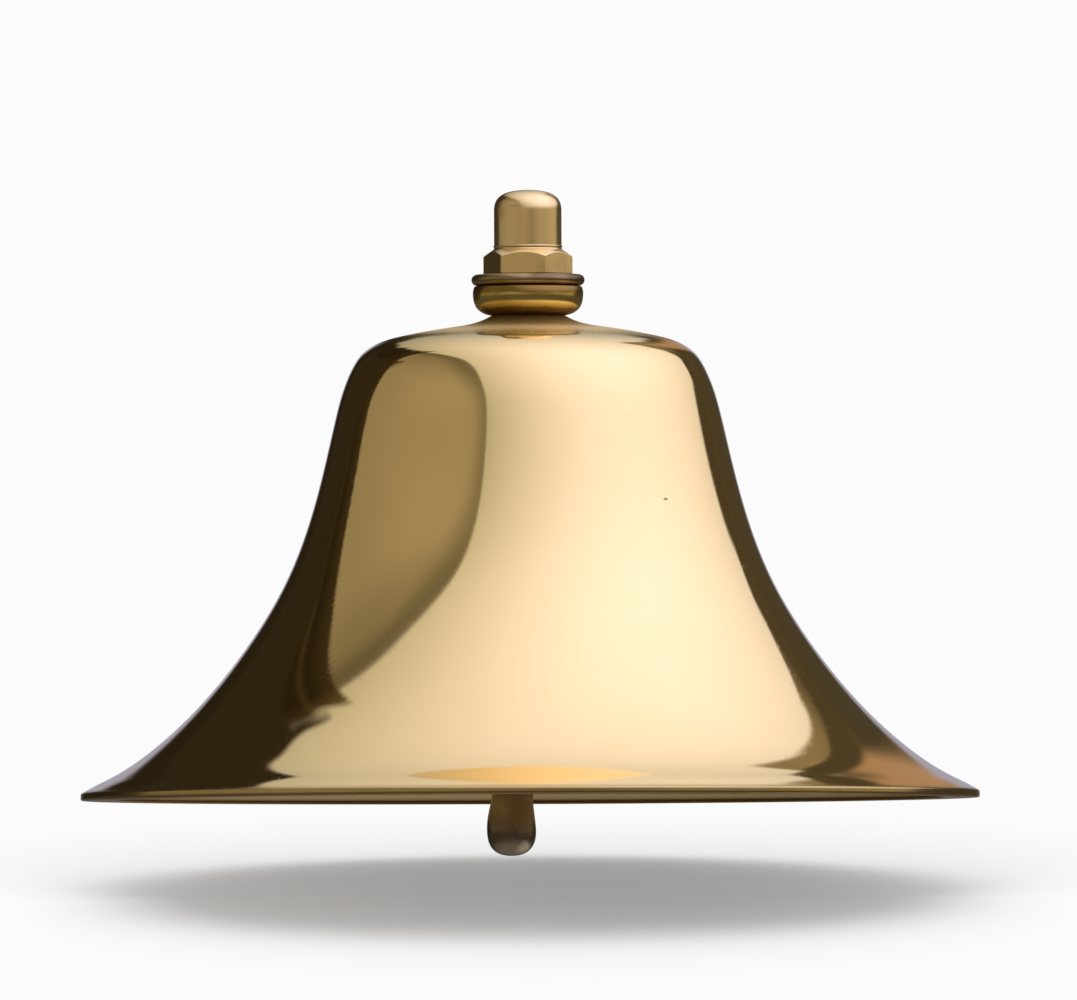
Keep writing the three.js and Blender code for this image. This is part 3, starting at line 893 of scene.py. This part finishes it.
def make_cap_nut():
    """A hexagon with a scalloped chamfer, a fine bead at the barrel's foot, and a low dome."""
    low, high = (p.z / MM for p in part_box("cap_nut"))
    flats, turned_by = 11.0, math.radians(-7.1)
    corner = flats / math.cos(math.pi / 6) + 0.2
    barrel, shoulder, shoulder_radius = 9.55, 10.4, 9.85
    bore_top = 19.0
    broken_edge = 0.18
    points = [(0, bore_top + 2.5), (STUD_BORE - 0.6, bore_top)]
    points += [(STUD_BORE - 0.3, low + 1.2), (STUD_BORE + 0.5, low)]
    points += [(flats - 0.5, low), (corner, low)]
    points += [(corner, low + broken_edge / 2), (corner, low + broken_edge)]
    facet_low, facet_top = low + 0.4, shoulder - 2.3
    facet_rings, chamfer_rings, chamfer_height = 14, 24, 2.15
    for i in range(facet_rings + 1):
        points.append((corner, facet_low + (facet_top - facet_low) * i / facet_rings))
    for i in range(1, chamfer_rings + 1):
        share = i / chamfer_rings
        points.append((corner + (shoulder_radius - corner) * share, facet_top + chamfer_height * share))
    bead_foot, bead = (9.58, shoulder + 0.3), (9.76, shoulder + 0.75)
    points += cubic((9.8, shoulder - 0.1), (9.66, shoulder), (9.58, shoulder + 0.12), bead_foot, 6)
    points += cubic(bead_foot, (9.58, shoulder + 0.45), (9.74, shoulder + 0.5), bead, 6)
    points += cubic(bead, (9.77, shoulder + 0.95), (9.66, shoulder + 1.0), (barrel, shoulder + 1.05), 6)
    points += [(barrel, shoulder + 1.4), (barrel, shoulder + 2.5), (barrel, 16), (barrel, 20)]
    points += cubic((barrel, 21.4), (barrel - 0.02, 24.6), (8.0, high), (0, high), 34)

    def six_sided(turn, r, z):
        """Keeps the smaller of the hexagon and the turned outline, with the edge between them eased."""
        if not (low - 0.01) * MM < z <= (shoulder - 0.1) * MM or r < flats * MM * 0.96:
            return r, z
        sector = math.radians(60)
        off = (turn - turned_by) % sector - sector / 2
        inset = broken_edge * MM * (1 - smooth_step(z / MM, low, low + broken_edge))
        side = flats * MM / math.cos(off)
        ease = 0.16 * MM
        gap = side - r
        if abs(gap) >= ease:
            return min(side, r) - inset, z
        return min(side, r) - (ease - abs(gap)) ** 2 / (4 * ease) - inset, z

    mesh = lathe(scaled(points), 360, six_sided)
    new_piece("cap_nut_domed", mesh, "nut_brass", "bell", ["cap_nut"])


def lock_pin_hole(half_length, chamfer):
    """A tool along X that bores the lock pin's hole, through a piece of that half width."""
    low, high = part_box("lock_pin")
    place = Matrix.Translation((0, 0, (low.z + high.z) / 2)) @ ALONG_X
    return moved(bored(1.8 * MM, -half_length, half_length, chamfer, 32), place)


def thread_depth(turn, height, pitch):
    """How deep a thread is at one place, from 0 at its crest to 1 at its root."""
    phase = (height / pitch - turn / (2 * math.pi)) % 1.0
    return smooth_step(abs(2 * phase - 1), 0.12, 0.88)


def make_stud():
    """An M14 stud, threaded at both ends and drilled for the lock pin."""
    low, high = (p.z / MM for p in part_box("hanger_stud"))
    radius, pitch, depth, point_length = 7.0, 2.0, 1.15, 1.3
    upper_end, lower_end, fade = -3.0, -22.0, 1.5
    step = pitch / 10
    count = round((high - low) / step)
    points = [(0, low)] + [(radius, low + (high - low) * i / count) for i in range(1, count)] + [(0, high)]

    def threaded(turn, r, z):
        z_mm = z / MM
        end = min(z_mm - low, high - z_mm)
        point = radius - max(0.0, point_length - end)
        upper = smooth_step(z_mm, upper_end - fade, upper_end)
        lower = 1 - smooth_step(z_mm, lower_end, lower_end + fade)
        runout = max(upper, lower)
        rr = radius - depth * thread_depth(turn, z_mm, pitch) * runout
        return min(rr, point) * MM, z

    mesh = lathe(scaled(points), 72, threaded)
    new_piece("stud", cut(mesh, lock_pin_hole(radius * MM, 0.2 * MM)), "zinc_steel", "bell", ["hanger_stud"])


# ---- The stack under the crown ----

def make_gasket():
    """A leather washer, cut by hand and so not quite round."""
    low, high = (p.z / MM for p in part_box("crown_gasket"))
    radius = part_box("crown_gasket")[1].x / MM

    def hand_cut(turn, r, z):
        wobble = 0.12 * math.sin(3 * turn + 0.7) + 0.07 * math.sin(7 * turn + 2.1)
        wobble += 0.04 * math.sin(13 * turn)
        share = smooth_step(r / MM, radius - 1.6, radius)
        return r + (wobble - 0.2) * MM * share, z

    outline = rounded([(STUD_BORE, low), (radius, low), (radius, high), (STUD_BORE, high)], 0.45)
    mesh = lathe(scaled(outline), 144, hand_cut)
    new_piece("gasket", mesh, "leather", "bell", ["crown_gasket"])


def make_backing_washer():
    radius, low, high = ring_size("inner_washer")
    outline = rounded([(STUD_BORE, low), (radius, low), (radius, high), (STUD_BORE, high)], 0.4)
    new_piece("backing_washer", lathe(scaled(outline), 128), "aged_brass", "bell", ["inner_washer"])


def make_spring_washer():
    radius, bottom, top = ring_size("spring_washer")
    lift = 0.25
    low, high = bottom + lift, top - lift
    outline = rounded([(STUD_BORE, low), (radius, low), (radius, high), (STUD_BORE, high)], 0.3)
    mesh = part_turn(scaled(outline), gap=9, sides=120, rise=2 * lift * MM, slant=4.0 / MM)
    new_piece("spring_lock_washer", mesh, "zinc_steel", "bell", ["spring_washer"])


# ---- The fork and its pin ----

PIN_BORE = 4.3


def make_clevis():
    """A cast fork: a round body on the stud, with two ears, one on each side of the clapper."""
    low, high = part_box("clevis")
    top, radius, edge = high.z, 13 * MM, 1.2 * MM
    ear = 9 * MM
    half_width = high.y
    slot_top = PIVOT.z + 11 * MM
    waist = slot_top + 1 * MM
    side = [(radius, top), (-radius, top), (-radius, waist), (-ear, waist - 4 * MM)]
    side += arc((0, PIVOT.z), ear, 180, 360, 48)
    side += [(ear, waist - 4 * MM), (radius, waist)]
    slab = extrude(side, -half_width, half_width)
    bottom = low.z - MM
    bar = lathe([(0, bottom), (radius, bottom), (radius, top - edge), (radius - edge, top), (0, top)], 128)
    body = softened(boolean(slab, bar, "INTERSECT"), 0.35 * MM, 6)
    pin_place = Matrix.Translation(PIVOT) @ ALONG_Y
    pin_hole = moved(bored(PIN_BORE * MM, -half_width, half_width, 0.5 * MM), pin_place)
    stud_hole = bored(STUD_BORE * MM, slot_top, top, 0.6 * MM)
    lock_hole = lock_pin_hole(radius, 0.25 * MM)
    mesh = cut(body, fork_slot(low.z, slot_top), pin_hole, stud_hole, lock_hole)
    new_piece("fork", mesh, "cast_bronze", "bell", ["clevis"])


def fork_slot(mouth, top):
    """A tool along X that cuts the slot between the ears, rounded at its top and eased at its mouth."""
    half, corner, ease, flare = 7.5 * MM, 2 * MM, 0.5 * MM, 3 * MM
    reach = 30 * MM
    outline = [(-half - flare, PIVOT.z - reach), (half + flare, PIVOT.z - reach), (half, mouth + ease)]
    outline += arc((half - corner, top - corner), corner, 0, 90, 8)
    outline += arc((-half + corner, top - corner), corner, 90, 180, 8)
    outline += [(-half, mouth + ease)]
    return moved(extrude(outline, -reach, reach), Matrix.Rotation(math.radians(90), 4, "Z"))


def make_lock_pin():
    """A rolled spring pin: a slotted tube with its ends tapered."""
    low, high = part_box("lock_pin")
    half, radius = high.x / MM, (high.z - low.z) / 2 / MM
    wall, taper, narrowing = 0.5, 0.7, 0.3
    outline = [(radius - wall, -half), (radius - narrowing, -half), (radius, -half + taper)]
    outline += [(radius, half - taper), (radius - narrowing, half), (radius - wall, half)]
    place = Matrix.Translation((0, 0, (low.z + high.z) / 2)) @ ALONG_X
    mesh = part_turn(scaled(outline), gap=28, sides=48)
    new_piece("roll_pin", mesh, "zinc_steel", "bell", ["lock_pin"], place)


def make_clevis_pin():
    low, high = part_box("clevis_pin")
    start, end = low.y / MM, high.y / MM
    head, shaft, thick = 6.5, 4.0, 2.5
    points = [(0, start)]
    dome_edge = (head - 0.4, start + 0.5)
    points += cubic((0, start), (3.0, start), (head - 0.9, start + 0.1), dome_edge, 12)
    points += cubic(dome_edge, (head, start + 0.8), (head, start + 1.0), (head, start + 1.3), 6)
    points += [(head, start + thick - 0.2), (head - 0.2, start + thick), (shaft + 0.3, start + thick),
               (shaft, start + thick + 0.3), (shaft, end - 1.0)]
    points += cubic((shaft, end - 1.0), (shaft, end - 0.5), (shaft - 0.5, end), (shaft - 1.0, end), 6)
    points += [(0, end)]
    hole_place = Matrix.Translation((0, 0, split_pin_y())) @ ALONG_X
    hole = moved(bored(1.2 * MM, -shaft * MM, shaft * MM, 0.25 * MM, 32), hole_place)
    mesh = cut(lathe(scaled(points), 96), hole)
    place = Matrix.Translation((0, 0, PIVOT.z)) @ ALONG_Y @ Matrix.Rotation(math.radians(90), 4, "Z")
    new_piece("pivot_pin", mesh, "zinc_steel", "bell", ["clevis_pin"], place)


def split_pin_y():
    low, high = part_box("split_pin")
    return (low.y + high.y) / 2


def make_ring_on_pin(name, node, edge, slot):
    low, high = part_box(node)
    radius = (high.z - low.z) / 2 / MM
    half = (high.y - low.y) / 2 / MM
    outline = rounded([(PIN_BORE, -half), (radius, -half), (radius, half), (PIN_BORE, half)], edge)
    place = Matrix.Translation((0, (low.y + high.y) / 2, PIVOT.z)) @ ALONG_Y
    new_piece(name, lathe(scaled(outline), 96), slot, "bell", [node], place)


def make_split_pin():
    """Half-round wire, doubled: two legs through the pin, an eye above, and the ends bent apart."""
    wire = 0.95
    leg = 0.06
    route = [(leg, 3.2), (leg, 1.2), (leg, -1.2), (leg, -3.4)]
    route += [(leg + 0.35, -4.5), (leg + 1.4, -5.5), (leg + 3.4, -6.1)]
    eye = arc((0, 6.0), 1.75, -62, 90, 12)
    half = [Vector(p) for p in reversed(route)] + [Vector(p) for p in eye]
    path = half + [Vector((-p.x, p.y)) for p in reversed(half[:-1])]
    path = smooth_route(path, 6)
    turns = [math.radians(a) for a in range(0, 181, 15)]
    section = [(wire * math.sin(turn), wire * math.cos(turn)) for turn in turns]
    verts, faces = [], []
    count = len(section)
    for i, p in enumerate(path):
        ahead = path[min(i + 1, len(path) - 1)] - path[max(i - 1, 0)]
        out = Vector((ahead.y, -ahead.x)).normalized()
        for across, along in section:
            q = p + out * across
            verts.append((q.x * MM, along * MM, q.y * MM))
    for i in range(len(path) - 1):
        a, b = i * count, (i + 1) * count
        faces += band(a, b, count)
    faces.append(tuple(reversed(range(count))))
    faces.append(tuple(range((len(path) - 1) * count, len(path) * count)))
    place = Matrix.Translation((0, split_pin_y(), PIVOT.z))
    new_piece("cotter", mesh_from(verts, faces), "zinc_steel", "bell", ["split_pin"], place)


def smooth_route(points, steps):
    """A smooth line through points, by Catmull and Rom's rule."""
    line = []
    last = len(points) - 1
    for i in range(last):
        p0, p1, p2, p3 = (points[min(max(i + k, 0), last)] for k in (-1, 0, 1, 2))
        for s in range(steps):
            t = s / steps
            line.append(0.5 * (2 * p1 + (p2 - p0) * t + (2 * p0 - 5 * p1 + 4 * p2 - p3) * t * t
                               + (3 * p1 - p0 - 3 * p2 + p3) * t ** 3))
    line.append(points[-1])
    return line


# ---- The clapper, made hanging straight down from its pin and then leaned as the CAD clapper leans ----

BALL_DROP = 78.0
BALL_RADIUS = 18.0
BALL_FLAT = 7.5
BALL_SEAT = math.sqrt(BALL_RADIUS ** 2 - BALL_FLAT ** 2)


def clapper_place():
    low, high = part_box("clapper_ball")
    ball = (low + high) / 2 - PIVOT
    lean = math.atan2(-ball.x, -ball.z)
    return Matrix.Translation(PIVOT) @ Matrix.Rotation(lean, 4, "Y")


CLAPPER = clapper_place()
TAIL_TOP = -BALL_DROP - BALL_SEAT - 0.3
EYE_HALF = 6


def make_clapper_rod():
    """Forged in one with its eye, and shouldered above the ball."""
    shoulder = -BALL_DROP + BALL_SEAT + 0.3
    points = [(0, TAIL_TOP - 9), (3.4, TAIL_TOP - 9), (4.0, TAIL_TOP - 8.4), (4.0, TAIL_TOP + 1)]
    points += [(4.7, TAIL_TOP + 1.5), (4.7, shoulder), (7.1, shoulder)]
    flare = ((7.2, shoulder + 0.4), (7.2, shoulder + 3.6), (4.7, shoulder + 4), (4.6, shoulder + 9))
    points += cubic(*flare, 16)
    points += cubic((4.6, shoulder + 9), (4.5, -40), (4.5, -30), (4.6, -16), 16)
    points += cubic((4.6, -16), (4.8, -12.5), (6.2, -9.5), (8.0, -6), 10)
    points += [(0, -6)]
    shank = lathe(scaled(points), 64)
    disc = rounded([(0, -EYE_HALF), (9.5, -EYE_HALF), (9.5, EYE_HALF), (0, EYE_HALF)], 1.2)
    eye = moved(lathe(scaled(disc), 96), ALONG_Y)
    forged = softened(boolean(shank, eye, "UNION"), 0.4 * MM, 6)
    bore = moved(bored(6.3 * MM, -EYE_HALF * MM, EYE_HALF * MM, 0.5 * MM, 96), ALONG_Y)
    new_piece("rod", cut(forged, bore), "dark_bronze", "clapper", ["clapper_rod"], CLAPPER)


def make_clapper_bush():
    radius = 6.0
    outline = [(PIN_BORE, -EYE_HALF), (radius, -EYE_HALF), (radius, EYE_HALF), (PIN_BORE, EYE_HALF)]
    mesh = lathe(scaled(rounded(outline, 0.35)), 96)
    new_piece("bush", mesh, "bearing_bronze", "clapper", ["clapper_bush"], CLAPPER @ ALONG_Y)


def make_clapper_ball():
    seat = math.degrees(math.acos(BALL_FLAT / BALL_RADIUS))
    upper = [(7.4, BALL_SEAT - 0.05), (7.0, BALL_SEAT), (5.4, BALL_SEAT), (5.0, BALL_SEAT - 0.4)]
    points = arc((0, 0), BALL_RADIUS, -seat + 1, seat - 1, 64)
    points += upper + [(r, -z) for r, z in reversed(upper)]
    mesh = lathe(scaled(points, -BALL_DROP * MM), 128)
    new_piece("ball", mesh, "dark_bronze", "clapper", ["clapper_ball"], CLAPPER)


def make_clapper_tail():
    """A pear, a little fuller towards one side, as hand-filed castings are."""
    bottom = -113.2
    widest_z = bottom + 7.2
    points = [(0, TAIL_TOP - 9.6), (3.9, TAIL_TOP - 9.6), (4.3, TAIL_TOP - 9.2)]
    points += [(4.3, TAIL_TOP - 0.4), (4.7, TAIL_TOP), (5.4, TAIL_TOP)]
    points += cubic((5.8, TAIL_TOP - 0.4), (5.75, TAIL_TOP - 4), (6.95, widest_z + 4), (6.95, widest_z), 24)
    points += cubic((6.95, widest_z), (6.95, widest_z - 4.2), (5.2, bottom), (0, bottom), 30)

    def fuller(turn, r, z):
        share = smooth_step(-z / MM, 101, 109)
        return r * (1 + 0.05 * share * math.cos(turn - math.radians(20))), z

    mesh = lathe(scaled(points), 96, fuller)
    new_piece("tail", mesh, "dark_bronze", "clapper", ["clapper_tail"], CLAPPER)


# ---- The assembly ----

make_bell()
make_collar()
make_crown_washer()
make_cap_nut()
make_stud()
make_gasket()
make_backing_washer()
make_spring_washer()
make_clevis()
make_lock_pin()
make_clevis_pin()
make_ring_on_pin("washer_on_pin", "pin_washer", 0.35, "zinc_steel")
make_split_pin()
make_ring_on_pin("thrust_ring_front", "thrust_washer_front", 0.3, "bearing_bronze")
make_ring_on_pin("thrust_ring_back", "thrust_washer_back", 0.3, "bearing_bronze")
make_clapper_rod()
make_clapper_bush()
make_clapper_ball()
make_clapper_tail()
